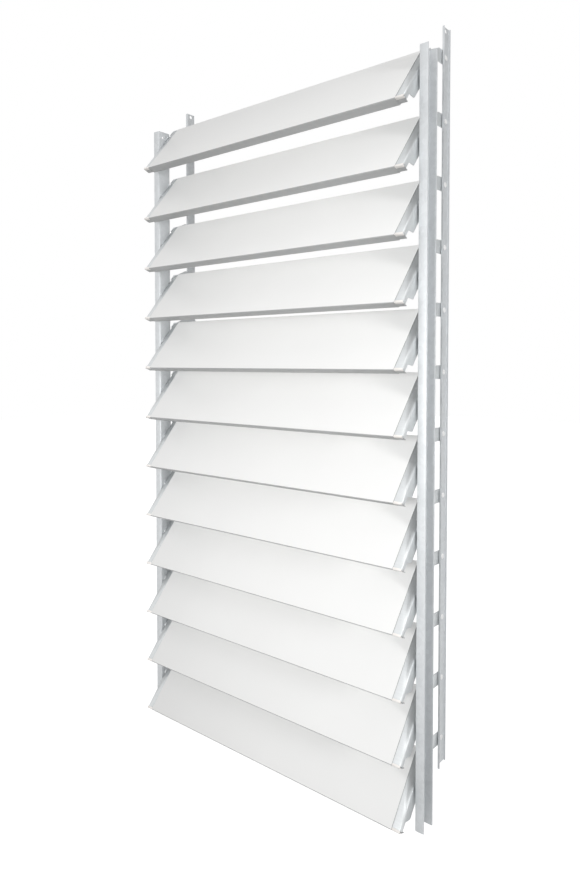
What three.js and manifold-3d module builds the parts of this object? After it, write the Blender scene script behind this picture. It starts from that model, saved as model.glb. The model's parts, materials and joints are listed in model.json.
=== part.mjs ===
// Operable louvre screen: wide folded sheet slats, one above another, that turn together
// between two channel uprights. Each slat is carried at both ends by a pressed bracket.
// The bracket's stud turns in a bush in the upright, and its tail reaches back to an upright
// drive bar, so one bar at each side keeps all the slats at the same tilt.
//
// Millimetres. +X runs along the slats, +Y to the back and +Z up. The origin is the bottom
// centre of the screen's box, level with the feet of the uprights.

import * as THREE from 'three';
import { mergeVertices } from 'three/addons/utils/BufferGeometryUtils.js';
import Module from 'manifold-3d';

const wasm = await Module();
wasm.setup();

// ---- Driving dimensions ------------------------------------------------------------------

// Layout
const slatCount = 12;
const slatPitch = 200;
const restTilt = 50.7; // degrees from level, upper edge to the back
const footToPivot = 138; // foot of the upright to the lowest pivot
const pivotToHead = 68; // highest pivot to the head of the upright
const seatGap = 0.3; // between pieces that touch

// Slat: a face with a leaning lip and a return along both edges
const slatLength = 1140;
const slatWidth = 250;
const slatSheet = 2;
const slatLipDepth = 33.6; // square to the face
const slatLipLean = 19; // degrees that a lip leans in
const slatReturn = 10;
const slatBend = 3.2; // outer radius

// Places on the slat's section, from its lower edge along the face and back from the face
const pivotAlong = 154.5;
const pivotBehind = 20;
const linkAlong = 311;
const linkBehind = 78;

// Bracket
const bracketSheet = 2.5;
const bracketTongue = 45; // length inside the slat
const bracketStrip = 28.8; // width that shows beyond the slat's end
const bracketEar = 24; // depth of its folded lower edge, square to the face
const bracketCorner = 22; // upper outer corner of the strip
const bracketBend = 4; // outer radius
const webNarrow = 19; // web depth at the lower end, from the face
const webWide = 44; // web depth round the pivot
const webStepStart = 37; // the step between them, along the face
const webStepEnd = 51;
const webFillet = 6;
const tailAngle = 50.7; // degrees between tail and face
const tailWidth = 44;
const tailShoulder = 39.5; // link hole to the start of the tail's straight upper edge

// Pivot: a stud on the bracket, in a flanged bush pressed into the upright
const studRadius = 8;
const studHeadRadius = 11;
const studHead = 3;
const bushFlangeRadius = 14;
const bushFlange = 4.7;

// Link pin: held in the drive bar, with the bracket's tail turning on it
const pinRadius = 7.2;
const pinHeadRadius = 8.6;
const pinHead = 2.2;
const pinFootRadius = 10;
const pinFoot = 2;

// Cap on the foot of the bracket's strip
const capFace = 10;
const capLip = 28;
const capBite = 0.4; // how far the strip is held in the cap's wall

// Upright
const uprightDepth = 58;
const uprightFlange = 31;
const uprightSheet = 3;
const uprightBend = 5;
const fixingRadius = 5;
const fixingSpacing = 16;
const fixingFromEnd = 23;

// Drive bar
const barGap = 1.2; // between the tails and the bar
const barAbovePin = 95; // highest link pin to the bar's top end
const barBelowPin = 97; // lowest link pin to the bar's foot
const barWidth = 42;
const barFlange = 8;
const barSheet = 2.5;
const barBend = 3.5;
const barTongueLength = 13; // the front flange runs on below the rest
const barLinkHoleRadius = 7;
const barLinkHoleFromEnd = 4;

// Facets
const roundSides = 8;
const bendSteps = 2;
const endSteps = 6; // round end of the tail

// ---- Finishes ----------------------------------------------------------------------------

const finish = (color, roughness, metalness) =>
  new THREE.MeshStandardMaterial({ color, roughness, metalness });
const lacqueredSheet = () => finish('#f1f1f0', 0.45, 0.1);
const galvanisedSteel = () => finish('#b9bfc3', 0.5, 0.75);
const paleSteel = () => finish('#c9cbc8', 0.5, 0.6);

// ---- Outlines ----------------------------------------------------------------------------

const radians = THREE.MathUtils.degToRad;

function arcPoints(centre, radius, from, to, steps) {
  const points = [];
  for (let i = 0; i <= steps; i += 1) {
    const angle = from + ((to - from) * i) / steps;
    points.push(new THREE.Vector2(radius * Math.cos(angle), radius * Math.sin(angle)).add(centre));
  }
  return points;
}

function circle(x, y, radius, sides = roundSides) {
  return arcPoints(new THREE.Vector2(x, y), radius, 0, 2 * Math.PI * (1 - 1 / sides), sides - 1);
}

// A faceted bore's radius, so that its flats clear a round of the given radius.
const boreRadius = (radius) => (radius + seatGap) / Math.cos(Math.PI / roundSides);

// The section of a bent sheet. Its outer corners are given in the order that turns left.
function sheetSection(corners, thickness, bend) {
  const directions = corners.slice(1).map((c, i) => c.clone().sub(corners[i]).normalize());
  const normals = directions.map((d) => new THREE.Vector2(-d.y, d.x));
  const outer = [corners[0].clone()];
  const inner = [corners[0].clone().addScaledVector(normals[0], thickness)];
  for (let i = 1; i < corners.length - 1; i += 1) {
    const sum = normals[i - 1].clone().add(normals[i]);
    const reach = bend / (1 + normals[i - 1].dot(normals[i]));
    const centre = corners[i].clone().addScaledVector(sum, reach);
    const from = Math.atan2(-normals[i - 1].y, -normals[i - 1].x);
    const turn = normals[i - 1].angleTo(normals[i]);
    outer.push(...arcPoints(centre, bend, from, from + turn, bendSteps));
    inner.push(...arcPoints(centre, bend - thickness, from, from + turn, bendSteps));
  }
  const last = corners.length - 1;
  outer.push(corners[last].clone());
  inner.push(corners[last].clone().addScaledVector(normals[last - 1], thickness));
  return [...outer, ...inner.reverse()];
}

// A polygon whose corners are rounded by the radius given with each.
function roundedOutline(corners) {
  const points = [];
  corners.forEach(({ at, radius }, i) => {
    if (!radius) {
      points.push(at);
      return;
    }
    const before = corners.at(i - 1).at.clone().sub(at).normalize();
    const after = corners[(i + 1) % corners.length].at.clone().sub(at).normalize();
    const half = before.angleTo(after) / 2;
    const middle = before.clone().add(after).normalize();
    const centre = at.clone().addScaledVector(middle, radius / Math.sin(half));
    const start = at.clone().addScaledVector(before, radius / Math.tan(half)).sub(centre);
    const end = at.clone().addScaledVector(after, radius / Math.tan(half)).sub(centre);
    const turn = start.cross(end) > 0 ? start.angleTo(end) : -start.angleTo(end);
    points.push(...arcPoints(centre, radius, start.angle(), start.angle() + turn, bendSteps));
  });
  return points;
}

// ---- Solids ------------------------------------------------------------------------------

function plain(geometry) {
  geometry.deleteAttribute('normal');
  geometry.deleteAttribute('uv');
  return mergeVertices(geometry, 1e-4);
}

function extruded(outline, depth, holes = []) {
  const shape = new THREE.Shape(outline);
  holes.forEach((hole) => shape.holes.push(new THREE.Path(hole)));
  return plain(new THREE.ExtrudeGeometry(shape, { depth, bevelEnabled: false }));
}

const yzPlane = new THREE.Matrix4().makeBasis(
  new THREE.Vector3(0, 1, 0),
  new THREE.Vector3(0, 0, 1),
  new THREE.Vector3(1, 0, 0),
);

// An outline in Y and Z, drawn out from one X to the other.
function acrossX(outline, x0, x1, holes = []) {
  const geometry = extruded(outline, Math.abs(x1 - x0), holes);
  return geometry.applyMatrix4(yzPlane).translate(Math.min(x0, x1), 0, 0);
}

const alongY = new THREE.Matrix4().makeBasis(
  new THREE.Vector3(0, 0, 1),
  new THREE.Vector3(1, 0, 0),
  new THREE.Vector3(0, 1, 0),
);

// An outline in Z and X, drawn out from one Y to the other.
function acrossY(outline, y0, y1) {
  return extruded(outline, y1 - y0).applyMatrix4(alongY).translate(0, y0, 0);
}

// A turned piece on an axis along X. Its profile is a list of [radius, X].
function turnedOnX(profile, side, y, z) {
  const points = profile.map(([radius, x]) => new THREE.Vector2(radius, x));
  const geometry = plain(new THREE.LatheGeometry(points, roundSides));
  geometry.rotateZ(side > 0 ? -Math.PI / 2 : Math.PI / 2);
  return geometry.translate(0, y, z);
}

function toManifold(geometry) {
  const vertProperties = Float32Array.from(geometry.attributes.position.array);
  const triVerts = Uint32Array.from(geometry.index.array);
  return new wasm.Manifold(new wasm.Mesh({ numProp: 3, vertProperties, triVerts }));
}

function fromManifold(solid) {
  const mesh = solid.getMesh();
  const geometry = new THREE.BufferGeometry();
  geometry.setAttribute('position', new THREE.BufferAttribute(mesh.vertProperties, 3));
  geometry.setIndex(new THREE.BufferAttribute(mesh.triVerts, 1));
  return geometry;
}

function joined(geometries, cuts = []) {
  let solid = toManifold(geometries[0]);
  geometries.slice(1).forEach((geometry) => {
    solid = solid.add(toManifold(geometry));
  });
  cuts.forEach((geometry) => {
    solid = solid.subtract(toManifold(geometry));
  });
  return fromManifold(solid);
}

// ---- Slat section ------------------------------------------------------------------------

// Slat pieces are drawn with the pivot at the origin and the face level, so a place on the
// section turns into Y and Z here.
const onSection = (along, behind) =>
  new THREE.Vector2(along - pivotAlong, pivotBehind - behind);

const lean = radians(slatLipLean);
// How far a lip that lies a given depth inside the slat's skin has come in at a given depth.
const lipInset = (behind, inside) => behind * Math.tan(lean) + inside / Math.cos(lean);

const slatEnd = slatLength / 2;

function slat() {
  const lip = lipInset(slatLipDepth, 0);
  const corners = [
    onSection(slatWidth - lip - slatReturn, slatLipDepth),
    onSection(slatWidth - lip, slatLipDepth),
    onSection(slatWidth, 0),
    onSection(0, 0),
    onSection(lip, slatLipDepth),
    onSection(lip + slatReturn, slatLipDepth),
  ];
  return acrossX(sheetSection(corners, slatSheet, slatBend), -slatEnd, slatEnd);
}

// ---- Bracket -----------------------------------------------------------------------------

const bracketSkin = slatSheet + seatGap; // the strip lies this far behind the slat's face
const stripEnd = slatEnd + bracketStrip;
// The strip's upper edge stays clear of the bend inside the slat.
const bendReach = (slatBend - slatSheet) * Math.tan((Math.PI / 2 + lean) / 2);
const stripTop = slatWidth - lipInset(bracketSkin, bracketSkin) - bendReach;
const stripFoot = lipInset(bracketSkin, bracketSkin);
const innerBend = slatBend - slatSheet + bracketSheet;

// The web stands square to the slat: narrow at the foot, wide round the pivot, with the tail.
function webOutline() {
  const tail = new THREE.Vector2(Math.cos(radians(tailAngle)), -Math.sin(radians(tailAngle)));
  const up = new THREE.Vector2(-tail.y, tail.x);
  const link = onSection(linkAlong, linkBehind);
  const radius = tailWidth / 2;
  const under = link.clone().addScaledVector(up, -radius);
  const wideZ = onSection(0, webWide).y;
  const toWide = (wideZ - under.y) / -tail.y;
  const start = bracketSkin + bracketBend;
  const corner = (along, behind, rounding = 0) => ({
    at: onSection(along, behind),
    radius: rounding,
  });
  const lower = roundedOutline([
    corner(lipInset(start, bracketSkin), start),
    corner(lipInset(webNarrow, bracketSkin), webNarrow),
    corner(webStepStart, webNarrow, webFillet),
    corner(webStepEnd, webWide, webFillet),
    { at: under.clone().addScaledVector(tail, -toWide), radius: tailWidth / 4 },
    { at: under, radius: 0 },
  ]);
  const from = up.angle() + Math.PI;
  const round = arcPoints(link, radius, from, from + Math.PI, endSteps).slice(1);
  const shoulder = link.clone().addScaledVector(up, radius).addScaledVector(tail, -tailShoulder);
  return [...lower, ...round, shoulder, onSection(stripTop, start)];
}

// The cap on the strip's foot. It carries on the line of the slat's skin and lower lip.
function footCap(side) {
  const lip = lipInset(capLip, 0);
  const corners = [onSection(capFace, 0), onSection(0, 0), onSection(lip, capLip)];
  const wall = bracketSkin + capBite;
  const section = sheetSection(corners, wall, Math.max(slatBend, wall + 0.5));
  return acrossX(section, side * (slatEnd + seatGap), side * stripEnd);
}

function bracket(side) {
  const x = (beyond) => side * (slatEnd + beyond);
  const flat = bracketStrip - bracketBend;
  const ear = lipInset(bracketEar, bracketSkin);
  const stripCorners = [
    onSection(stripTop, bracketSkin),
    onSection(stripFoot, bracketSkin),
    onSection(ear, bracketEar),
  ];
  const stripSection = sheetSection(stripCorners, bracketSheet, innerBend);
  const strip = acrossX(stripSection, x(-bracketTongue), x(flat + 0.5));
  const web = acrossX(webOutline(), x(bracketStrip - bracketSheet), x(bracketStrip));

  // The bend between strip and web, drawn out along the strip.
  const skinZ = onSection(0, bracketSkin).y;
  const bendCorners = [
    new THREE.Vector2(skinZ - bracketBend - 1, x(bracketStrip)),
    new THREE.Vector2(skinZ, x(bracketStrip)),
    new THREE.Vector2(skinZ, x(flat - 1)),
  ];
  const ordered = side > 0 ? bendCorners.reverse() : bendCorners;
  const bendFoot = lipInset(bracketSkin + bracketBend, bracketSkin);
  const bend = acrossY(
    sheetSection(ordered, bracketSheet, bracketBend),
    onSection(bendFoot, 0).x,
    onSection(stripTop, 0).x,
  );

  const root = slatEnd + bracketStrip - bracketSheet / 2;
  const head = slatEnd + uprightFace + uprightSheet + seatGap;
  const stud = turnedOnX(
    [
      [0, root],
      [studRadius, root],
      [studRadius, head],
      [studHeadRadius, head],
      [studHeadRadius, head + studHead],
      [0, head + studHead],
    ],
    side,
    0,
    0,
  );

  // The strip's upper outer corner is rounded off, and the web behind it isn't.
  const top = onSection(stripTop, 0).x;
  const corner = new THREE.Vector2(x(bracketStrip - bracketCorner), top - bracketCorner);
  const arc = arcPoints(corner, bracketCorner, 0, Math.PI / 2, 2 * bendSteps);
  const rounding = side > 0 ? arc : arc.map((p) => new THREE.Vector2(2 * corner.x - p.x, p.y));
  const far = new THREE.Vector2(x(bracketStrip + 1), top + 1);
  const cornerCut = extruded(
    [
      new THREE.Vector2(far.x, rounding[0].y),
      ...rounding,
      new THREE.Vector2(rounding.at(-1).x, far.y),
      far,
    ],
    bracketSheet + 0.2,
  ).translate(0, 0, skinZ - bracketSheet - 0.1);

  const link = onSection(linkAlong, linkBehind);
  const linkHole = acrossX(
    circle(link.x, link.y, boreRadius(pinRadius)),
    x(bracketStrip - bracketSheet - 1),
    x(bracketStrip + 1),
  );
  const sheetParts = fromManifold(
    toManifold(strip).add(toManifold(bend)).subtract(toManifold(cornerCut)),
  );
  return joined([sheetParts, web, stud, footCap(side)], [linkHole]);
}

// ---- Uprights -----------------------------------------------------------------

const uprightFace = bracketStrip + seatGap + bushFlange; // beyond the slat's end
const pivotSpan = (slatCount - 1) * slatPitch;
const uprightLength = footToPivot + pivotSpan + pivotToHead;
const pivotHeights = Array.from(
  { length: slatCount },
  (_, i) => footToPivot + pivotSpan - i * slatPitch,
);

function upright(side) {
  const x = (beyond) => side * (slatEnd + uprightFace + beyond);
  const half = uprightDepth / 2;
  const corners = [
    new THREE.Vector2(x(uprightFlange), half),
    new THREE.Vector2(x(0), half),
    new THREE.Vector2(x(0), -half),
    new THREE.Vector2(x(uprightFlange), -half),
  ];
  const ordered = side > 0 ? corners : corners.reverse();
  const channel = extruded(sheetSection(ordered, uprightSheet, uprightBend), uprightLength);
  const drill = (y, z, radius) => acrossX(circle(y, z, radius), x(-1), x(uprightSheet + 1));
  const bushProfile = [
    [0, slatEnd + bracketStrip + seatGap],
    [bushFlangeRadius, slatEnd + bracketStrip + seatGap],
    [bushFlangeRadius, slatEnd + uprightFace + uprightSheet / 2],
    [0, slatEnd + uprightFace + uprightSheet / 2],
  ];
  const bushes = pivotHeights.map((z) => turnedOnX(bushProfile, side, 0, z));
  const bores = pivotHeights.map((z) =>
    acrossX(circle(0, z, boreRadius(studRadius)), x(-bushFlange - 1), x(uprightSheet + 1)),
  );
  const fixings = [fixingFromEnd, uprightLength - fixingFromEnd].flatMap((z) =>
    [-1, 1].map((way) => drill((way * fixingSpacing) / 2, z, fixingRadius)),
  );
  return joined([channel, ...bushes], [...bores, ...fixings]);
}

// ---- Drive bars ------------------------------------------------------------

const tilt = radians(restTilt);
const linkAtRest = onSection(linkAlong, linkBehind).rotateAround(new THREE.Vector2(), tilt);
const barFace = bracketStrip + barGap; // beyond the slat's end
const linkHeights = pivotHeights.map((z) => z + linkAtRest.y);

function driveBar(side) {
  const x = (beyond) => side * (slatEnd + barFace + beyond);
  const half = barWidth / 2;
  const corners = [
    new THREE.Vector2(x(barFlange), linkAtRest.x + half),
    new THREE.Vector2(x(0), linkAtRest.x + half),
    new THREE.Vector2(x(0), linkAtRest.x - half),
    new THREE.Vector2(x(barFlange), linkAtRest.x - half),
  ];
  const ordered = side > 0 ? corners : corners.reverse();
  const top = linkHeights[0] + barAbovePin;
  const bottom = linkHeights.at(-1) - barBelowPin;
  const bar = extruded(sheetSection(ordered, barSheet, barBend), top - bottom);
  bar.translate(0, 0, bottom);
  const drill = (z, radius) =>
    acrossX(circle(linkAtRest.x, z, radius), x(-1), x(barSheet + 1));
  const linkHole = drill(top - barLinkHoleFromEnd - barLinkHoleRadius, barLinkHoleRadius);
  const pinFootEnd = slatEnd + bracketStrip - bracketSheet - seatGap;
  const pinHeadStart = slatEnd + barFace + barSheet;
  const pinProfile = [
    [0, pinFootEnd - pinFoot],
    [pinFootRadius, pinFootEnd - pinFoot],
    [pinFootRadius, pinFootEnd],
    [pinRadius, pinFootEnd],
    [pinRadius, pinHeadStart - barSheet / 2],
    [pinHeadRadius, pinHeadStart - barSheet / 2],
    [pinHeadRadius, pinHeadStart + pinHead],
    [0, pinHeadStart + pinHead],
  ];
  const pins = linkHeights.map((z) => turnedOnX(pinProfile, side, linkAtRest.x, z));
  // The web and the rear flange stop short of the front flange at the foot.
  const notch = acrossX(
    [
      new THREE.Vector2(linkAtRest.x - half + barBend, bottom - 1),
      new THREE.Vector2(linkAtRest.x + half + 1, bottom - 1),
      new THREE.Vector2(linkAtRest.x + half + 1, bottom + barTongueLength),
      new THREE.Vector2(linkAtRest.x - half + barBend, bottom + barTongueLength),
    ],
    x(seatGap),
    x(barFlange + 1),
  );
  return joined([bar, ...pins], [linkHole, notch]);
}

// ---- Assembly ----------------------------------------------------------------------------

const screen = new THREE.Group();

function place(name, geometry, material, parent) {
  const mesh = new THREE.Mesh(geometry, material);
  mesh.name = name;
  parent.add(mesh);
}

const sides = [
  ['left', -1],
  ['right', 1],
];

sides.forEach(([name, side]) => {
  place(`upright_${name}`, upright(side), galvanisedSteel(), screen);
  place(`drive_bar_${name}`, driveBar(side), galvanisedSteel(), screen);
});

pivotHeights.forEach((height, i) => {
  const number = String(i + 1).padStart(2, '0');
  const assembly = new THREE.Group();
  assembly.position.z = height;
  assembly.rotation.x = tilt;
  place(`slat_${number}`, slat(), lacqueredSheet(), assembly);
  sides.forEach(([name, side]) => {
    place(`bracket_${name}_${number}`, bracket(side), paleSteel(), assembly);
  });
  screen.add(assembly);
});

// The pivots' axes lie off the middle of the box, so the box is brought to the origin.
screen.updateMatrixWorld(true);
const box = new THREE.Box3().setFromObject(screen, true);
screen.position.y = -(box.min.y + box.max.y) / 2;

export default screen;
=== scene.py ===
"""Operable louvre screen: lacquered slats in pressed brackets, two uprights and two drive bars.

Lengths are in metres. +X runs along the slats, +Y to the back and +Z up, in the frame of the
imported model.
Pieces are made at the lowest slat, at its right-hand end, and are copied up and across from there.
"""

import json
import math

import bpy
from bpy.props import FloatProperty, FloatVectorProperty, IntProperty, PointerProperty
from mathutils import Matrix, Vector


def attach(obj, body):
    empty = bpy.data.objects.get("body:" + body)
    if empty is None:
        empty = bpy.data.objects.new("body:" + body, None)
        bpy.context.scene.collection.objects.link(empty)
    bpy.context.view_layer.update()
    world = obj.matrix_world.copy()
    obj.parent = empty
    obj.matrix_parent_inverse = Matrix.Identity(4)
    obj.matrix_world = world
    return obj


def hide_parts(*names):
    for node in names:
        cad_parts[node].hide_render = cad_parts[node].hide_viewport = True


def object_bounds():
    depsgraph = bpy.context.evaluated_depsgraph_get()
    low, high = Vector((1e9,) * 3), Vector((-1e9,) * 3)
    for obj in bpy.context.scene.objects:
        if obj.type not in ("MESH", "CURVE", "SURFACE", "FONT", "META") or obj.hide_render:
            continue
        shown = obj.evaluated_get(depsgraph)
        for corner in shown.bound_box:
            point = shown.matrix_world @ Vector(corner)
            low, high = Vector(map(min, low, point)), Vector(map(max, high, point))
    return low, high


bl_info = {
    "name": "Operable louvre screen",
    "version": (1, 0, 0),
    "blender": (4, 5, 0),
    "location": "View3D > Sidebar > Louvre",
    "description": "Builds a louvre screen's slats, brackets, uprights and drive bars",
    "category": "Object",
}

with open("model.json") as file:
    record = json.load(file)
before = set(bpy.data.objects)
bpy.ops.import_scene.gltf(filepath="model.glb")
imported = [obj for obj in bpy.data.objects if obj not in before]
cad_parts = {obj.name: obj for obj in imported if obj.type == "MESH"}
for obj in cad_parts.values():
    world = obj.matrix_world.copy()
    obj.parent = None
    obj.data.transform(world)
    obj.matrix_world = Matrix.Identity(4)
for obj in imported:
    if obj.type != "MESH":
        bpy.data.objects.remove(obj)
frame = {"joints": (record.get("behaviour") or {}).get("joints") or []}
CAD_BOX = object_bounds()
JOINTS = {joint["name"]: joint for joint in frame["joints"]}

SIDES = (("left", True), ("right", False))  # each side's name, and whether it is mirrored
NEAR = 2e-5  # places closer than this count as one
SEAT = 0.0003  # gap between pieces that touch
BUSH_WALL = 0.0024  # outside of a pivot bush, beyond the stud


# ---- Sizes and finishes -------------------------------------------------------------------


def length(name, description, millimetres):
    value = millimetres / 1000
    return FloatProperty(
        name=name, description=description, default=value, unit="LENGTH", precision=4
    )


def angle(name, description, degrees):
    value = math.radians(degrees)
    return FloatProperty(name=name, description=description, default=value, subtype="ANGLE")


def colour(name, description, code):
    value = linear(code)
    return FloatVectorProperty(
        name=name, description=description, default=value, size=4, subtype="COLOR", min=0, max=1
    )


def linear(code):
    """An sRGB hex value as linear red, green, blue and alpha."""
    parts = [int(code[i : i + 2], 16) / 255 for i in (1, 3, 5)]
    curve = [c / 12.92 if c <= 0.04045 else ((c + 0.055) / 1.055) ** 2.4 for c in parts]
    return (*curve, 1.0)


class LOUVRE_PG_slat(bpy.types.PropertyGroup):
    count: IntProperty(name="Slats", description="Number of slats", default=12, min=1)
    pitch: length("Pitch", "Height from one slat to the next", 200)
    tilt: angle("Tilt", "Angle of the slats from level", 50.7)
    half_length: length("Half length", "Middle of the screen to a slat's end", 570)
    width: length("Width", "Width of a slat's face", 250)
    sheet: length("Sheet", "Thickness of a slat's sheet", 2)
    lip_depth: length("Lip depth", "Depth of the lips, square to the face", 33.6)
    lip_lean: angle("Lip lean", "Angle that the lips lean in", 19)
    lip_return: length("Return", "Width of the returns along the lips", 10)
    bend: length("Bend", "Outer radius of the folds", 3.2)
    pivot_along: length("Pivot along", "Pivot from the slat's lower edge, along the face", 154.5)
    pivot_behind: length("Pivot behind", "Pivot behind the face", 20)
    link_along: length("Link along", "Link pin from the lower edge, along the face", 311)
    link_behind: length("Link behind", "Link pin behind the face", 78)


class LOUVRE_PG_bracket(bpy.types.PropertyGroup):
    sheet: length("Sheet", "Thickness of the bracket's sheet", 2.5)
    skin: length("Set back", "Strip behind the slat's face", 2.3)
    tongue: length("Tongue", "Length of the tongue inside the slat", 45)
    strip: length("Strip", "Width of the strip beyond the slat's end", 28.8)
    ear: length("Ear", "Depth of the folded lower edge", 24)
    corner: length("Corner", "Radius of the strip's upper outer corner", 22)
    bend: length("Bend", "Outer radius between strip and web", 4)
    narrow: length("Narrow web", "Depth of the web's lower end", 19)
    wide: length("Wide web", "Depth of the web round the pivot", 44)
    step_start: length("Step start", "Start of the step in the web", 37)
    step_end: length("Step end", "End of the step in the web", 51)
    tail: length("Tail", "Width of the tail", 44)
    shoulder: length("Shoulder", "Link pin to the start of the tail's straight upper edge", 39.5)
    cap_face: length("Cap face", "Height of the cap on the foot of the strip", 9)
    cap_wrap: length("Cap wrap", "Depth of the cap under the foot", 11)
    shoe: length("Shoe", "Depth of the shoe under the strip's foot", 28)


class LOUVRE_PG_pivot(bpy.types.PropertyGroup):
    stud: length("Stud", "Radius of the stud", 8)
    stud_head: length("Stud head", "Radius of the stud's head", 11)
    flange: length("Flange", "Radius of the bush's flange", 14)
    pin: length("Link pin", "Radius of the link pin", 7.2)
    pin_head: length("Pin head", "Radius of the link pin's head", 8.6)
    pin_foot: length("Pin foot", "Radius of the link pin's foot", 10)


class LOUVRE_PG_upright(bpy.types.PropertyGroup):
    face: length("Web", "Web beyond the slat's end", 33.8)
    depth: length("Depth", "Front to back", 58)
    flange: length("Flange", "Width of the flanges", 31)
    sheet: length("Sheet", "Thickness of the sheet", 3)
    bend: length("Bend", "Outer radius of the folds", 5)
    below: length("Below", "Foot to the lowest pivot", 138)
    above: length("Above", "Highest pivot to the head", 68)
    fixing: length("Fixing hole", "Radius of a fixing hole", 5)


class LOUVRE_PG_bar(bpy.types.PropertyGroup):
    face: length("Web", "Web beyond the slat's end", 30)
    width: length("Width", "Front to back", 42)
    flange: length("Flange", "Width of the flanges", 8)
    sheet: length("Sheet", "Thickness of the sheet", 2.5)
    bend: length("Bend", "Outer radius of the folds", 3.5)
    above: length("Above", "Highest link pin to the top end", 95)
    below: length("Below", "Lowest link pin to the foot", 97)
    tongue: length("Tongue", "Front flange below the rest of the foot", 13)
    hole: length("Hole", "Radius of the top end's hole", 7)
    hole_drop: length("Hole drop", "Top end to the hole's edge", 4)


class LOUVRE_PG_finish(bpy.types.PropertyGroup):
    lacquer: colour("Lacquer", "Faces of the slats", "#f0f0ef")
    # Painted shade: the grey of the lips and bends stands for their shade, not for a coat of their
    # own.
    lips: colour("Lip painted shade", "Lips of the slats", "#b6b7b7")
    galvanised: colour("Galvanised steel", "Uprights and drive bars", "#dcdfe1")
    plated: colour("Zinc-plated steel", "Brackets and studs", "#dcdfe0")
    cream: colour("Cream polyamide", "Caps on the brackets' feet", "#f9f5f1")
    nylon: colour("White nylon", "Bushes and link pins", "#ffffff")


def settings(name):
    return getattr(bpy.context.scene, f"louvre_{name}")


# ---- Places -------------------------------------------------------------------------------


def pivot(row=0):
    """The pivot of a slat, counted up from the lowest one."""
    slat = settings("slat")
    place = JOINTS[f"slat_{slat.count:02d}_tilt"]["pos_m"]
    return Vector((0, place[1], place[2] + row * slat.pitch))


def on_section(along, behind, x=0.0):
    """A place on the lowest slat's section, along the face from its lower edge and behind it."""
    slat = settings("slat")
    flat = Vector((0, along - slat.pivot_along, slat.pivot_behind - behind))
    place = pivot() + Matrix.Rotation(slat.tilt, 3, "X") @ flat
    place.x = x
    return place


def lip_inset(behind, inside):
    """How far in a lip has leaned at a depth behind the face, or a sheet that lines it inside."""
    lean = settings("slat").lip_lean
    return behind * math.tan(lean) + inside / math.cos(lean)


def face_normal():
    """The way that the slats' faces look."""
    return (on_section(0, 0) - on_section(0, 1)).normalized()


def up_the_face():
    return on_section(1, 0) - on_section(0, 0)


def link():
    """The lowest slat's link pin."""
    slat = settings("slat")
    return on_section(slat.link_along, slat.link_behind)


# ---- Making pieces ------------------------------------------------------------------------


def pick(obj):
    """Makes one object the only selected one, and the active one."""
    bpy.ops.object.select_all(action="DESELECT")
    bpy.context.view_layer.objects.active = obj
    obj.select_set(True)


def edit(obj):
    """Goes into edit mode on one object, with nothing selected."""
    pick(obj)
    bpy.ops.object.mode_set(mode="EDIT")
    bpy.ops.mesh.select_mode(type="VERT")
    bpy.ops.mesh.select_all(action="DESELECT")


def select(obj, test):
    """Selects the vertices whose place passes the test."""
    bpy.ops.mesh.select_all(action="DESELECT")
    bpy.ops.object.mode_set(mode="OBJECT")
    for vertex in obj.data.vertices:
        vertex.select = test(vertex.co)
    for line in obj.data.edges:
        line.select = all(obj.data.vertices[v].select for v in line.vertices)
    for face in obj.data.polygons:
        face.select = all(obj.data.vertices[v].select for v in face.vertices)
    bpy.ops.object.mode_set(mode="EDIT")


def on_line(point, along):
    """A test for places on the line through a point."""
    way = along.normalized()
    return lambda place: (place - point - way * (place - point).dot(way)).length < NEAR


def plane(name, corner, along, leg):
    """A rectangle that starts at a corner. Its face looks along the product of its two sides."""
    bpy.ops.object.select_all(action="DESELECT")
    sides = (along.normalized(), leg.normalized(), along.cross(leg).normalized())
    axes = Matrix(sides).transposed()
    middle = corner + (along + leg) / 2
    bpy.ops.mesh.primitive_plane_add(size=1, location=middle, rotation=axes.to_euler())
    obj = bpy.context.object
    obj.name = obj.data.name = name
    obj.scale = (along.length, leg.length, 1)
    bpy.ops.object.transform_apply(location=True, rotation=True, scale=True)
    return obj


def fold_on(obj, corners, along):
    """Draws a sheet on from its last edge, leg by leg."""
    for start, end in zip(corners, corners[1:]):
        select(obj, on_line(start, along))
        bpy.ops.mesh.extrude_edges_move(TRANSFORM_OT_translate={"value": end - start})


def round_fold(obj, corner, along, radius, turn):
    """Rounds the fold at a corner of a sheet that turns there by an angle."""
    select(obj, on_line(corner, along))
    reach = radius * math.tan(turn / 2)
    bpy.ops.mesh.bevel(offset=reach, segments=5, affect="EDGES", profile=0.5)


def on_plane(point, normal):
    """A test for places on the plane through a point."""
    return lambda place: abs((place - point).dot(normal)) < NEAR


def folded_sheet(name, corners, along, radius):
    """A sheet bent at each inner corner of its section, still without thickness."""
    obj = plane(name, corners[0], along, corners[1] - corners[0])
    edit(obj)
    fold_on(obj, corners[1:], along)
    for before, corner, after in zip(corners, corners[1:], corners[2:]):
        round_fold(obj, corner, along, radius, (corner - before).angle(after - corner))
    bpy.ops.object.mode_set(mode="OBJECT")
    return obj


def start_at(name, place):
    """An object with a single vertex, left selected in edit mode."""
    bpy.ops.object.select_all(action="DESELECT")
    bpy.ops.mesh.primitive_plane_add(size=0.01, location=place)
    obj = bpy.context.object
    obj.name = obj.data.name = name
    bpy.ops.object.transform_apply(location=True, rotation=True, scale=True)
    edit(obj)
    bpy.ops.mesh.select_all(action="SELECT")
    bpy.ops.mesh.merge(type="CENTER")
    return obj


def trace(name, points, facing):
    """A flat face with the given outline, drawn point by point."""
    obj = start_at(name, points[0])
    draw_on(points)
    bpy.ops.mesh.select_all(action="SELECT")
    bpy.ops.mesh.edge_face_add()
    bpy.ops.object.mode_set(mode="OBJECT")
    if obj.data.polygons[0].normal.dot(facing) < 0:
        obj.data.flip_normals()
    return obj


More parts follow.
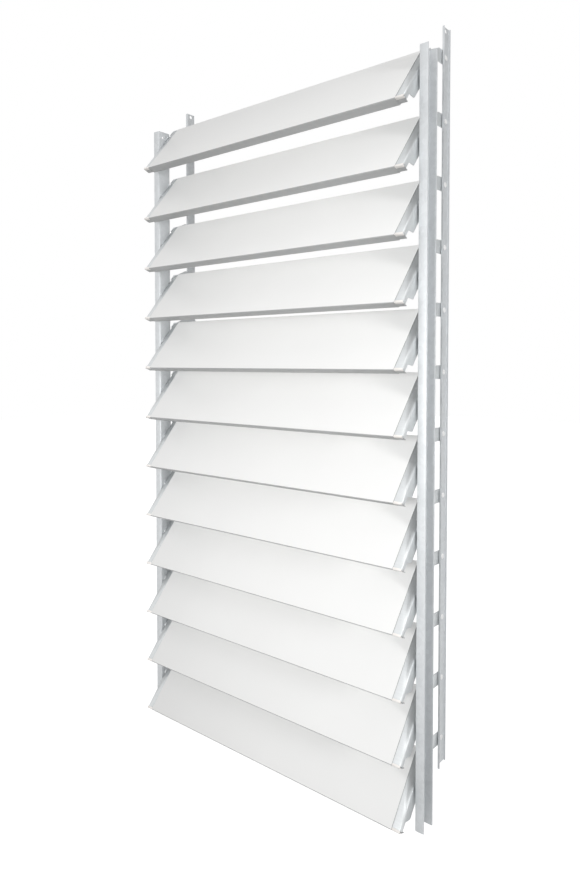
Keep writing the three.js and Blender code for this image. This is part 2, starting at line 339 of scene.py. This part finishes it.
def draw_on(points):
    """Extrudes the selected vertex from point to point."""
    for start, end in zip(points, points[1:]):
        bpy.ops.mesh.extrude_vertices_move(TRANSFORM_OT_translate={"value": end - start})


def add_modifier(obj, kind, **values):
    modifier = obj.modifiers.new(kind.title(), kind)
    for name, value in values.items():
        setattr(modifier, name, value)
    pick(obj)
    bpy.ops.object.modifier_apply(modifier=modifier.name)


def break_edges(obj, width, sharper_than):
    """Rounds off the edges that turn by more than an angle in degrees."""
    limit = math.radians(sharper_than)
    add_modifier(obj, "BEVEL", width=width, segments=2, limit_method="ANGLE", angle_limit=limit)


def thicken(obj, sheet, edge=0.0004):
    """Gives a sheet its thickness on the side that its faces look to, and breaks its cut edges."""
    add_modifier(obj, "SOLIDIFY", thickness=sheet, offset=1, use_even_offset=True)
    break_edges(obj, edge, 55)


def cut(obj, cutter):
    add_modifier(obj, "BOOLEAN", object=cutter, operation="DIFFERENCE", solver="EXACT")
    bpy.data.objects.remove(cutter)


def drill(obj, centres, radius):
    """Drills round holes along X, right through the sheet at each centre."""
    along_x = (0, math.pi / 2, 0)
    cutters = []
    for centre in centres:
        bpy.ops.object.select_all(action="DESELECT")
        bpy.ops.mesh.primitive_cylinder_add(
            vertices=40, radius=radius, depth=0.02, location=centre, rotation=along_x
        )
        bpy.ops.object.transform_apply(location=True, rotation=True, scale=True)
        cutters.append(bpy.context.object)
    cut(obj, join(cutters))


def join(objects):
    bpy.ops.object.select_all(action="DESELECT")
    for obj in objects:
        obj.select_set(True)
    bpy.context.view_layer.objects.active = objects[0]
    bpy.ops.object.join()
    return objects[0]


def turned(name, profile, centre):
    """A piece turned on an axis along X, from a profile of radius and X that closes on the axis."""
    points = [Vector((x, centre.y, centre.z + radius)) for radius, x in profile]
    obj = start_at(name, points[0])
    draw_on(points)
    bpy.ops.mesh.select_all(action="SELECT")
    bpy.ops.mesh.spin(steps=32, angle=2 * math.pi, center=centre, axis=(1, 0, 0))
    bpy.ops.mesh.select_all(action="SELECT")
    bpy.ops.mesh.remove_doubles(threshold=1e-6)
    bpy.ops.mesh.normals_make_consistent(inside=False)
    bpy.ops.object.mode_set(mode="OBJECT")
    break_edges(obj, 0.0005, 50)
    return obj


def smooth(obj):
    pick(obj)
    bpy.ops.object.shade_smooth_by_angle(angle=math.radians(32))


def copy(obj, name, rise=0.0, mirrored=False):
    """A copy with its own mesh, further up or at the other end of the screen."""
    mesh = obj.data.copy()
    mesh.transform(Matrix.Translation((0, 0, rise)))
    if mirrored:
        mesh.transform(Matrix.Scale(-1, 4, (1, 0, 0)))
        mesh.flip_normals()
    twin = bpy.data.objects.new(name, mesh)
    mesh.name = name
    bpy.context.scene.collection.objects.link(twin)
    return twin


def dress(obj, material, slot, body, *nodes):
    """Gives a finished piece its material and its body, and hides the nodes it stands for."""
    obj.data.materials.clear()
    obj.data.materials.append(bpy.data.materials[material])
    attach(obj, body)
    if nodes:
        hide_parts(*nodes)


def rows():
    """Each slat's number, as its name has it, and its height over the lowest one."""
    slat = settings("slat")
    return [(f"{slat.count - i:02d}", i * slat.pitch) for i in range(slat.count)]


# ---- Materials ----------------------------------------------------------------------------


def add_node(tree, kind, values=None, **inputs):
    """Adds a node with its own settings. Inputs go by name, or by number as in _0."""
    made = tree.nodes.new(f"ShaderNode{kind}")
    for name, value in (values or {}).items():
        setattr(made, name, value)
    for name, value in inputs.items():
        key = int(name[1:]) if name[1:].isdigit() else name.replace("_", " ")
        socket = made.inputs[key]
        if isinstance(value, bpy.types.NodeSocket):
            tree.links.new(value, socket)
        else:
            socket.default_value = value
    return made


def start_material(name):
    material = bpy.data.materials.new(name)
    material.use_nodes = True
    tree = material.node_tree
    tree.nodes.clear()
    place = add_node(tree, "TexCoord").outputs["Object"]
    return tree, place


def finish_material(tree, shader):
    add_node(tree, "OutputMaterial", Surface=shader.outputs[0])


def shades(tree, amount, base, low, high):
    """A colour that goes from a darker to a lighter shade of one base."""
    dark = tuple(c * low for c in base[:3]) + (1,)
    light = tuple(min(1, c * high) for c in base[:3]) + (1,)
    mixed = add_node(tree, "Mix", {"data_type": "RGBA"}, _0=amount, _6=dark, _7=light)
    return mixed.outputs[2]


class LOUVRE_OT_materials(bpy.types.Operator):
    """Make the face lacquer, the painted-shade grey of the lips and bends, the two steels and the
    two plastics
    """

    bl_idname = "louvre.materials"
    bl_label = "Materials"

    def execute(self, context):
        self.lacquer("Powder-coated aluminium", settings("finish").lacquer)
        # The same lacquer in a grey of painted shade, for the lips and the bends.
        self.lacquer("Painted-shade grey", settings("finish").lips)
        self.galvanised()
        self.plated()
        self.plastic("Cream polyamide", settings("finish").cream, 0.5)
        self.plastic("White nylon", settings("finish").nylon, 0.38)
        return {"FINISHED"}

    def lacquer(self, name, colour):
        # Polyester powder coat, sprayed and baked: a satin skin with a slight orange peel.
        # The real peel is about 2 mm across. It is drawn at 7 mm, so that it shows in the gloss.
        # The faces are white. The lips and the bends are a mid grey of painted shade, for the shade
        # under the lips and the dark lines at the folds.
        tree, place = start_material(name)
        cloud = add_node(tree, "TexNoise", Vector=place, Scale=3.0, Detail=2.0, Roughness=0.5)
        peel = add_node(tree, "TexNoise", Vector=place, Scale=140.0, Detail=2.0, Roughness=0.5)
        bump = add_node(tree, "Bump", Strength=0.04, Distance=0.0008, Height=peel.outputs["Fac"])
        gloss = add_node(tree, "MapRange", _0=cloud.outputs["Fac"], _1=0.3, _2=0.7, _3=0.4, _4=0.48)
        base = shades(tree, cloud.outputs["Fac"], colour, 0.97, 1.02)
        coat = dict(Roughness=gloss.outputs[0], IOR=1.5, Normal=bump.outputs[0])
        finish_material(tree, add_node(tree, "BsdfPrincipled", Base_Color=base, **coat))

    def galvanised(self):
        # Hot-dip zinc: crystals 10 to 15 mm across that differ a little in shade and gloss.
        tree, place = start_material("Galvanised steel")
        spangle = add_node(tree, "TexVoronoi", Vector=place, Scale=80.0, Randomness=1.0)
        tone = add_node(tree, "SeparateColor", Color=spangle.outputs["Color"])
        cloud = add_node(tree, "TexNoise", Vector=place, Scale=9.0, Detail=3.0)
        shade = add_node(tree, "Mix", _0=0.5, _2=tone.outputs[0], _3=cloud.outputs["Fac"])
        base = shades(tree, shade.outputs[0], settings("finish").galvanised, 0.92, 1.06)
        gloss = add_node(tree, "MapRange", _0=tone.outputs[1], _1=0.0, _2=1.0, _3=0.46, _4=0.56)
        grain = add_node(tree, "TexNoise", Vector=place, Scale=500.0, Detail=1.0)
        bump = add_node(tree, "Bump", Strength=0.05, Distance=0.0005, Height=grain.outputs["Fac"])
        metal = dict(Metallic=0.3, Roughness=gloss.outputs[0], Normal=bump.outputs[0])
        finish_material(tree, add_node(tree, "BsdfPrincipled", Base_Color=base, **metal))

    def plated(self):
        # Bright zinc on pressed steel: even and cool, with faint marks of rolling along the sheet.
        tree, place = start_material("Zinc-plated steel")
        stretched = add_node(tree, "Mapping", Vector=place, Scale=(6.0, 120.0, 120.0))
        rolling = add_node(tree, "TexNoise", Vector=stretched.outputs[0], Scale=2.0, Detail=3.0)
        marks = rolling.outputs["Fac"]
        base = shades(tree, marks, settings("finish").plated, 0.92, 1.06)
        gloss = add_node(tree, "MapRange", _0=marks, _1=0.3, _2=0.7, _3=0.38, _4=0.48)
        bump = add_node(tree, "Bump", Strength=0.04, Distance=0.0005, Height=marks)
        metal = dict(Metallic=0.5, Roughness=gloss.outputs[0], Normal=bump.outputs[0])
        finish_material(tree, add_node(tree, "BsdfPrincipled", Base_Color=base, **metal))

    def plastic(self, name, base, roughness):
        # Injection-moulded polyamide: a fine spark-eroded grain, drawn at 2 mm so that it shows.
        tree, place = start_material(name)
        grain = add_node(tree, "TexNoise", Vector=place, Scale=480.0, Detail=2.0)
        cloud = add_node(tree, "TexNoise", Vector=place, Scale=60.0, Detail=1.0)
        bump = add_node(tree, "Bump", Strength=0.08, Distance=0.0004, Height=grain.outputs["Fac"])
        tint = shades(tree, cloud.outputs["Fac"], base, 0.98, 1.01)
        skin = dict(Roughness=roughness, IOR=1.53, Normal=bump.outputs[0])
        finish_material(tree, add_node(tree, "BsdfPrincipled", Base_Color=tint, **skin))


# ---- Slats --------------------------------------------------------------------------------


class LOUVRE_OT_slats(bpy.types.Operator):
    """Fold one slat and copy it up the screen"""

    bl_idname = "louvre.slats"
    bl_label = "Slats"

    def execute(self, context):
        slat = settings("slat")
        lip = lip_inset(slat.lip_depth, 0)
        x = -slat.half_length
        corners = [
            on_section(slat.width - lip - slat.lip_return, slat.lip_depth, x),
            on_section(slat.width - lip, slat.lip_depth, x),
            on_section(slat.width, 0, x),
            on_section(0, 0, x),
            on_section(lip, slat.lip_depth, x),
            on_section(lip + slat.lip_return, slat.lip_depth, x),
        ]
        first = folded_sheet("slat", corners, Vector((2 * slat.half_length, 0, 0)), slat.bend)
        thicken(first, slat.sheet)
        smooth(first)
        for number, rise in rows():
            piece = copy(first, f"folded_slat_{number}", rise)
            dress(piece, "Powder-coated aluminium", "lacquer", f"slat_{number}", f"slat_{number}")
            self.paint_shade_on_lips_and_bends(piece)
        bpy.data.objects.remove(first)
        return {"FINISHED"}

    def paint_shade_on_lips_and_bends(self, piece):
        """Gives the lips and the bends the grey of painted shade."""
        piece.data.materials.append(bpy.data.materials["Painted-shade grey"])
        front = face_normal()
        for polygon in piece.data.polygons:
            # Every polygon that doesn't face the front gets the painted shade.
            level_with_face = abs(polygon.normal.dot(front)) > 0.97
            polygon.material_index = 0 if level_with_face else 1


# ---- Brackets -----------------------------------------------------------------------------


class LOUVRE_OT_brackets(bpy.types.Operator):
    """Press one bracket with its stud, and copy it to both ends of each slat"""

    bl_idname = "louvre.brackets"
    bl_label = "Brackets and studs"

    def execute(self, context):
        first = join([self.pressing(), self.stud()])
        smooth(first)
        for number, rise in rows():
            for side, mirrored in SIDES:
                piece = copy(first, f"pressed_bracket_{side}_{number}", rise, mirrored)
                node = f"bracket_{side}_{number}"
                dress(piece, "Zinc-plated steel", "plated", f"slat_{number}", node)
        bpy.data.objects.remove(first)
        return {"FINISHED"}

    def pressing(self):
        slat, bracket = settings("slat"), settings("bracket")
        top_gap = 0.0018  # between the pressing's top and the upper lip
        foot = lip_inset(bracket.skin, bracket.skin)
        top = slat.width - foot - top_gap
        start = slat.half_length - bracket.tongue
        end = slat.half_length + bracket.strip
        flat = end - bracket.bend
        corners = [
            on_section(top, bracket.skin, start),
            on_section(foot, bracket.skin, start),
            on_section(lip_inset(bracket.ear, bracket.skin), bracket.ear, start),
        ]
        obj = folded_sheet("bracket", corners, Vector((flat - start, 0, 0)), bracket.sheet + 0.0012)

        # The strip runs on to the fold, and the web starts behind it.
        edit(obj)
        skin = on_section(0, bracket.skin)
        normal = face_normal()
        back = -normal * bracket.bend
        in_strip = on_plane(skin, normal)
        select(obj, lambda place: in_strip(place) and abs(place.x - flat) < NEAR)
        for run in (Vector((bracket.bend, 0, 0)), back):
            bpy.ops.mesh.extrude_edges_move(TRANSFORM_OT_translate={"value": run})

        # The web's outline goes from the foot round the tail to the top.
        behind = on_plane(skin + back, normal)
        ends = [at for at in self.places(obj) if abs(at.x - end) < NEAR and behind(at)]
        at_foot = min(ends, key=lambda place: place.z)
        at_top = max(ends, key=lambda place: place.z)
        outline = self.web(end)
        select(obj, lambda place: (place - at_foot).length < NEAR)
        draw_on([at_foot, *outline])
        gap = (outline[-1], at_top)
        select(obj, lambda place: min((place - point).length for point in gap) < NEAR)
        bpy.ops.mesh.edge_face_add()
        web_depth = bracket.bend - NEAR
        select(
            obj,
            lambda place: abs(place.x - end) < NEAR and (place - skin).dot(normal) < -web_depth,
        )
        bpy.ops.mesh.edge_face_add()
        fold = on_section(0, bracket.skin, end)
        round_fold(obj, fold, up_the_face(), bracket.bend, math.pi / 2)
        bpy.ops.mesh.select_all(action="SELECT")
        bpy.ops.mesh.normals_make_consistent(inside=False)
        bpy.ops.object.mode_set(mode="OBJECT")
        face = max(obj.data.polygons, key=lambda polygon: abs(polygon.normal.dot(normal)))
        if face.normal.dot(normal) > 0:
            obj.data.flip_normals()
        thicken(obj, bracket.sheet, 0.0003)
        self.round_corner(obj, top, end, normal)
        drill(obj, [link() + Vector((end, 0, 0))], settings("pivot").pin + 0.0004)
        return obj

    def places(self, obj):
        bpy.ops.object.mode_set(mode="OBJECT")
        found = [vertex.co.copy() for vertex in obj.data.vertices]
        bpy.ops.object.mode_set(mode="EDIT")
        return found

    def web(self, x):
        """Places on the web's outline past its start, as a list that goes round the tail."""
        bracket = settings("bracket")
        centre = link()
        centre.x = x
        radius = bracket.tail / 2
        # The step between the narrow and the wide web, with its corners eased.
        wide = [
            on_section(lip_inset(bracket.narrow, bracket.skin), bracket.narrow, x),
            on_section(bracket.step_start - 0.003, bracket.narrow, x),
            on_section(bracket.step_start + 0.001, bracket.narrow + 0.0018, x),
            on_section(bracket.step_end - 0.0022, bracket.wide - 0.004, x),
            on_section(bracket.step_end - 0.0005, bracket.wide - 0.0014, x),
            on_section(bracket.step_end + 0.003, bracket.wide, x),
        ]
        # The wide web's lower edge meets the tail's level lower edge.
        run = up_the_face()
        edge = on_section(0, bracket.wide, x)
        level = centre.z - radius
        meet = edge + run * ((level - edge.z) / run.z)
        along = run.normalized()
        bend = [
            meet - along * 0.012,
            meet + Vector((0, 0.0035, 0.0025)) - along * 0.004,
            meet + Vector((0, 0.012, 0)),
        ]
        round_end = []
        for i in range(17):
            turn = -math.pi / 2 + math.pi * i / 16
            round_end.append(centre + Vector((0, math.cos(turn), math.sin(turn))) * radius)
        shoulder = centre + Vector((0, -bracket.shoulder, radius))
        return [*wide, *bend, *round_end, shoulder]

    def round_corner(self, obj, top, end, normal):
        """Cuts the strip's upper outer corner to an arc, through the skin and not the web."""
        bracket = settings("bracket")
        up = up_the_face().normalized()
        past = 0.003  # the cutter's reach beyond the sheet's edges
        corner = on_section(top, bracket.skin, end)
        centre = corner - up * bracket.corner - Vector((bracket.corner, 0, 0))
        points = [corner + up * past + Vector((past, 0, 0))]
        points.append(centre + Vector((bracket.corner + past, 0, 0)))
        for i in range(13):
            turn = math.pi / 2 * i / 12
            way = Vector((math.cos(turn), 0, 0)) + up * math.sin(turn)
            points.append(centre + way * bracket.corner)
        points.append(centre + up * (bracket.corner + past))
        cutter = trace("corner", [point + normal * 0.001 for point in points], -normal)
        add_modifier(cutter, "SOLIDIFY", thickness=bracket.sheet + 0.0011, offset=1)
        cut(obj, cutter)

    def stud(self):
        slat, bracket = settings("slat"), settings("bracket")
        sizes, upright = settings("pivot"), settings("upright")
        web = slat.half_length + bracket.strip - bracket.sheet
        head = slat.half_length + upright.face + upright.sheet + SEAT
        # An upset foot inside the web, the shank, and a head with a broken edge.
        profile = [
            (0, web - 0.0018),
            (sizes.stud + 0.002, web - 0.0018),
            (sizes.stud + 0.0025, web + 0.0002),
            (sizes.stud, web + 0.0002),
            (sizes.stud, head),
            (sizes.stud_head, head),
            (sizes.stud_head, head + 0.0022),
            (sizes.stud_head - 0.002, head + 0.003),
            (0, head + 0.003),
        ]
        return turned("stud", profile, pivot())


class LOUVRE_OT_caps(bpy.types.Operator):
    """Mould one cap and one shoe and copy them to the foot of each bracket"""

    bl_idname = "louvre.caps"
    bl_label = "Foot caps"

    def execute(self, context):
        bracket = settings("bracket")
        cap = self.wrapped("cap", bracket.cap_face, bracket.cap_wrap)
        shoe = self.wrapped("shoe", 0.0045, bracket.shoe)
        # The shoe shows only behind the cap, and the two meet at a fine joint.
        edit(shoe)
        bpy.ops.mesh.select_all(action="SELECT")
        joint = on_section(lip_inset(bracket.cap_wrap, 0), bracket.cap_wrap + 0.0002)
        lip = on_section(lip_inset(1, 0), 1) - on_section(0, 0)
        bpy.ops.mesh.bisect(plane_co=joint, plane_no=lip, use_fill=True, clear_inner=True)
        bpy.ops.object.mode_set(mode="OBJECT")
        for piece, name, material, slot in (
            (cap, "foot_cap", "Cream polyamide", "plated"),
            # The shoe carries the lips' painted shade.
            (shoe, "foot_shoe", "Painted-shade grey", "lacquer"),
        ):
            smooth(piece)
            for number, rise in rows():
                for side, mirrored in SIDES:
                    twin = copy(piece, f"{name}_{side}_{number}", rise, mirrored)
                    dress(twin, material, slot, f"slat_{number}")
            bpy.data.objects.remove(piece)
        return {"FINISHED"}

    def wrapped(self, name, face, depth):
        """A wall that carries on the line of the slat's skin and lower lip past the slat's end."""
        slat, bracket = settings("slat"), settings("bracket")
        joint = 0.0004  # fine gap at the slat's end
        start = slat.half_length + joint
        corners = [
            on_section(face, 0, start),
            on_section(0, 0, start),
            on_section(lip_inset(depth, 0), depth, start),
        ]
        obj = folded_sheet(name, corners, Vector((bracket.strip - joint, 0, 0)), slat.bend)
        thicken(obj, bracket.skin - 0.0001, 0.0006)
        return obj


# ---- Uprights and drive bars --------------------------------------------------------------


def channel(name, face, flange, y, width, foot, head, radius):
    """A channel on end, open outwards, at the right-hand side."""
    corners = [
        Vector((face + flange, y + width / 2, foot)),
        Vector((face, y + width / 2, foot)),
        Vector((face, y - width / 2, foot)),
        Vector((face + flange, y - width / 2, foot)),
    ]
    return folded_sheet(name, corners, Vector((0, 0, head - foot)), radius)


class LOUVRE_OT_uprights(bpy.types.Operator):
    """Fold one upright, drill it and copy it to the other side"""

    bl_idname = "louvre.uprights"
    bl_label = "Uprights"

    def execute(self, context):
        slat, upright, sizes = settings("slat"), settings("upright"), settings("pivot")
        face = slat.half_length + upright.face
        lowest, highest = pivot(0), pivot(slat.count - 1)
        foot, head = lowest.z - upright.below, highest.z + upright.above
        obj = channel(
            "upright", face, upright.flange, lowest.y, upright.depth, foot, head, upright.bend
        )
        thicken(obj, upright.sheet, 0.0005)
        middle = face + upright.sheet / 2
        sockets = [Vector((middle, lowest.y, lowest.z + rise)) for _, rise in rows()]
        drill(obj, sockets, sizes.stud + BUSH_WALL)
        off_middle, from_end = 0.008, 0.023
        fixings = [
            Vector((middle, lowest.y + way * off_middle, z))
            for z in (foot + from_end, head - from_end)
            for way in (-1, 1)
        ]
        drill(obj, fixings, upright.fixing)
        smooth(obj)
        for side, mirrored in SIDES:
            piece = copy(obj, f"channel_upright_{side}", 0, mirrored)
            dress(piece, "Galvanised steel", "galvanised", "frame", f"upright_{side}")
        bpy.data.objects.remove(obj)
        return {"FINISHED"}


class LOUVRE_OT_bushes(bpy.types.Operator):
    """Turn one flanged bush and copy it to each pivot of both uprights"""

    bl_idname = "louvre.bushes"
    bl_label = "Pivot bushes"

    def execute(self, context):
        slat, bracket = settings("slat"), settings("bracket")
        upright, sizes = settings("upright"), settings("pivot")
        start = slat.half_length + bracket.strip + SEAT
        web = slat.half_length + upright.face
        end = web + upright.sheet + 0.0001
        bore = sizes.stud + 0.0002
        sleeve = sizes.stud + BUSH_WALL
        profile = [
            (bore, start),
            (sizes.flange, start),
            (sizes.flange, web),
            (sleeve, web),
            (sleeve, end),
            (bore, end),
            (bore, start),
        ]
        first = turned("bush", profile, pivot())
        smooth(first)
        for side, mirrored in SIDES:
            copies = [copy(first, f"pivot_bush_{side}", rise, mirrored) for _, rise in rows()]
            dress(join(copies), "White nylon", "galvanised", "frame")
        bpy.data.objects.remove(first)
        return {"FINISHED"}


class LOUVRE_OT_bars(bpy.types.Operator):
    """Fold one drive bar, cut its ends and copy it to the other side"""

    bl_idname = "louvre.bars"
    bl_label = "Drive bars"

    def execute(self, context):
        slat, bar, sizes = settings("slat"), settings("bar"), settings("pivot")
        face = slat.half_length + bar.face
        lowest = link()
        highest = lowest + Vector((0, 0, (slat.count - 1) * slat.pitch))
        foot, head = lowest.z - bar.below, highest.z + bar.above
        obj = channel("bar", face, bar.flange, lowest.y, bar.width, foot, head, bar.bend)
        thicken(obj, bar.sheet, 0.0004)
        middle = face + bar.sheet / 2
        sockets = [Vector((middle, lowest.y, lowest.z + rise)) for _, rise in rows()]
        drill(obj, sockets, sizes.pin - 0.0002)
        drill(obj, [Vector((middle, lowest.y, head - bar.hole_drop - bar.hole))], bar.hole)
        self.notch(obj, face, lowest.y, foot)
        smooth(obj)
        for side, mirrored in SIDES:
            piece = copy(obj, f"channel_bar_{side}", 0, mirrored)
            dress(piece, "Galvanised steel", "galvanised", f"drive_bar_{side}", f"drive_bar_{side}")
        bpy.data.objects.remove(obj)
        return {"FINISHED"}

    def notch(self, obj, face, y, foot):
        """The web and the rear flange stop short of the front flange at the foot."""
        bar = settings("bar")
        past = 0.002  # the cutter's reach beyond the sheet's edges
        inner = 0.006  # radius of the notch's inner corner
        x = face - past
        front = y - bar.width / 2 + bar.bend
        back = y + bar.width / 2 + past
        points = [
            Vector((x, front, foot - past)),
            Vector((x, back, foot - past)),
            Vector((x, back, foot + bar.tongue)),
        ]
        centre = Vector((x, front + inner, foot + bar.tongue - inner))
        for i in range(7):
            turn = math.pi / 2 * i / 6
            points.append(centre + Vector((0, -math.sin(turn), math.cos(turn))) * inner)
        cutter = trace("notch", points, Vector((1, 0, 0)))
        add_modifier(cutter, "SOLIDIFY", thickness=bar.flange + 2 * past, offset=1)
        cut(obj, cutter)


class LOUVRE_OT_pins(bpy.types.Operator):
    """Turn one link pin and copy it down both drive bars"""

    bl_idname = "louvre.pins"
    bl_label = "Link pins"

    def execute(self, context):
        slat, bracket = settings("slat"), settings("bracket")
        bar, sizes = settings("bar"), settings("pivot")
        tail = slat.half_length + bracket.strip - bracket.sheet - SEAT
        web = slat.half_length + bar.face + bar.sheet
        # A foot inside the tail, the shank, and a head with a shallow dish.
        profile = [
            (0, tail - 0.002),
            (sizes.pin_foot, tail - 0.002),
            (sizes.pin_foot, tail),
            (sizes.pin, tail),
            (sizes.pin, web),
            (sizes.pin_head, web),
            (sizes.pin_head - 0.001, web + 0.0022),
            (0.004, web + 0.0022),
            (0.0034, web + 0.0012),
            (0, web + 0.0012),
        ]
        first = turned("pin", profile, link())
        smooth(first)
        for side, mirrored in SIDES:
            copies = [copy(first, f"link_pin_{side}", rise, mirrored) for _, rise in rows()]
            dress(join(copies), "White nylon", "galvanised", f"drive_bar_{side}")
        bpy.data.objects.remove(first)
        return {"FINISHED"}


# ---- Stage --------------------------------------------------------------------------------


class LOUVRE_OT_stage(bpy.types.Operator):
    """Set the floor, the studio light and the camera"""

    bl_idname = "louvre.stage"
    bl_label = "Stage"

    def execute(self, context):
        context.scene.view_settings.view_transform = "Standard"
        self.world(context)
        self.floor()
        # Even light from high in front. It throws no shadows, so the slats don't shade each other.
        self.sun("Overhead", (0, -1.7, 6.0), (0, 0, 1.3), power=0.6, spread=0.3)
        # Level with the middle of the screen, so that its shadows fall behind the slats.
        self.spot("Front", (0.6, -4.2, 1.45), (0.1, 0, 1.3), power=316, cone=56, radius=0.5)
        self.spot("Side", (5.5, -1.2, 1.9), (0, 0, 1.45), power=420, cone=50, radius=0.6)
        back = self.spot("Back", (-2.4, 3.8, 2.4), (0, 0, 1.2), power=190, cone=60, radius=0.6)
        # Kept out of the gloss, where it leaves a white patch on level slats.
        back.visible_glossy = False
        self.camera(context)
        return {"FINISHED"}

    def world(self, context):
        world = bpy.data.worlds.new("Studio")
        context.scene.world = world
        world.use_nodes = True
        tree = world.node_tree
        tree.nodes.clear()
        rays = add_node(tree, "LightPath")
        # Gloss shows a white studio in front and at the left, and a greyer one behind.
        way = add_node(tree, "TexCoord").outputs["Generated"]
        white_side = (-0.6, -0.8, 0.0)
        dot = {"operation": "DOT_PRODUCT"}
        side = add_node(tree, "VectorMath", dot, _0=way, _1=white_side).outputs["Value"]
        shown = add_node(tree, "MapRange", _0=side, _1=0.05, _2=0.35, _3=0.5, _4=1.0)
        glossy, camera = rays.outputs["Is Glossy Ray"], rays.outputs["Is Camera Ray"]
        soft = add_node(tree, "Mix", _0=glossy, _2=0.5, _3=shown.outputs[0])
        seen = add_node(tree, "Mix", _0=camera, _2=soft.outputs[0], _3=1.0)
        light = add_node(tree, "Background", Color=(1, 1, 1, 1), Strength=seen.outputs[0])
        add_node(tree, "OutputWorld", Surface=light.outputs[0])

    def floor(self):
        bpy.ops.object.select_all(action="DESELECT")
        bpy.ops.mesh.primitive_plane_add(size=30, location=(0, 0, CAD_BOX[0][2]))
        floor = bpy.context.object
        floor.name = "floor"
        material = bpy.data.materials.new("Pale floor")
        material.use_nodes = True
        tree = material.node_tree
        tree.nodes.clear()
        paint = add_node(tree, "BsdfDiffuse", Color=(0.3, 0.3, 0.3, 1))
        glow = add_node(tree, "Emission", Color=(1, 1, 1, 1), Strength=0.93)
        lit = add_node(tree, "AddShader", _0=paint.outputs[0], _1=glow.outputs[0]).outputs[0]
        # The glow is for the camera and the gloss only, and lights nothing.
        rays = add_node(tree, "LightPath")
        glossy, camera = rays.outputs["Is Glossy Ray"], rays.outputs["Is Camera Ray"]
        seen = add_node(tree, "Math", {"operation": "MAXIMUM"}, _0=camera, _1=glossy).outputs[0]
        shown = add_node(tree, "MixShader", _0=seen, _1=paint.outputs[0], _2=lit)
        add_node(tree, "OutputMaterial", Surface=shown.outputs[0])
        floor.data.materials.append(material)

    def sun(self, name, place, aim, power, spread):
        light = bpy.data.lights.new(name, "SUN")
        light.energy = power
        light.angle = spread
        light.use_shadow = False
        light.cycles.cast_shadow = False
        return self.hang(light, place, aim)

    def spot(self, name, place, aim, power, cone, radius):
        light = bpy.data.lights.new(name, "SPOT")
        light.energy = power
        light.shadow_soft_size = radius
        light.spot_size = math.radians(cone)
        light.spot_blend = 1
        return self.hang(light, place, aim)

    def hang(self, light, place, aim):
        obj = bpy.data.objects.new(light.name, light)
        obj.location = place
        way = Vector(aim) - Vector(place)
        obj.rotation_euler = way.to_track_quat("-Z", "Y").to_euler()
        bpy.context.scene.collection.objects.link(obj)
        return obj

    def camera(self, context):
        # Fitted to the edges of the slats, uprights and bars as they stand in the picture.
        camera = bpy.data.cameras.new("Camera")
        camera.lens = 28.574
        camera.sensor_width = 36
        camera.shift_x = -0.0002
        camera.shift_y = -0.0579
        camera.clip_end = 60
        obj = bpy.data.objects.new("Camera", camera)
        obj.location = (1.653, -1.9155, 1.4534)
        obj.rotation_euler = (math.pi / 2 - 0.032, 0, 0.6958)
        context.scene.collection.objects.link(obj)
        context.scene.camera = obj


# ---- Panel and registration ---------------------------------------------------------------

OPERATORS = (
    LOUVRE_OT_materials,
    LOUVRE_OT_slats,
    LOUVRE_OT_brackets,
    LOUVRE_OT_caps,
    LOUVRE_OT_uprights,
    LOUVRE_OT_bushes,
    LOUVRE_OT_bars,
    LOUVRE_OT_pins,
    LOUVRE_OT_stage,
)

GROUPS = {
    "slat": LOUVRE_PG_slat,
    "bracket": LOUVRE_PG_bracket,
    "pivot": LOUVRE_PG_pivot,
    "upright": LOUVRE_PG_upright,
    "bar": LOUVRE_PG_bar,
    "finish": LOUVRE_PG_finish,
}


class LOUVRE_PT_panel(bpy.types.Panel):
    """Sizes, colours and steps of the louvre screen"""

    bl_idname = "LOUVRE_PT_panel"
    bl_label = "Louvre screen"
    bl_space_type = "VIEW_3D"
    bl_region_type = "UI"
    bl_category = "Louvre"

    def draw(self, context):
        for operator in OPERATORS:
            self.layout.operator(operator.bl_idname)
        for name in GROUPS:
            box = self.layout.box()
            box.label(text=name.title())
            group = getattr(context.scene, f"louvre_{name}")
            for field in group.__annotations__:
                box.prop(group, field)


def register():
    for group in GROUPS.values():
        bpy.utils.register_class(group)
    for name, group in GROUPS.items():
        setattr(bpy.types.Scene, f"louvre_{name}", PointerProperty(type=group))
    for operator in OPERATORS:
        bpy.utils.register_class(operator)
    bpy.utils.register_class(LOUVRE_PT_panel)


def unregister():
    bpy.utils.unregister_class(LOUVRE_PT_panel)
    for operator in reversed(OPERATORS):
        bpy.utils.unregister_class(operator)
    for name in GROUPS:
        delattr(bpy.types.Scene, f"louvre_{name}")
    for group in GROUPS.values():
        bpy.utils.unregister_class(group)


def main():
    register()
    bpy.ops.louvre.materials()
    bpy.ops.louvre.slats()
    bpy.ops.louvre.brackets()
    bpy.ops.louvre.caps()
    bpy.ops.louvre.uprights()
    bpy.ops.louvre.bushes()
    bpy.ops.louvre.bars()
    bpy.ops.louvre.pins()
    bpy.ops.louvre.stage()


if __name__ == "__main__":
    main()
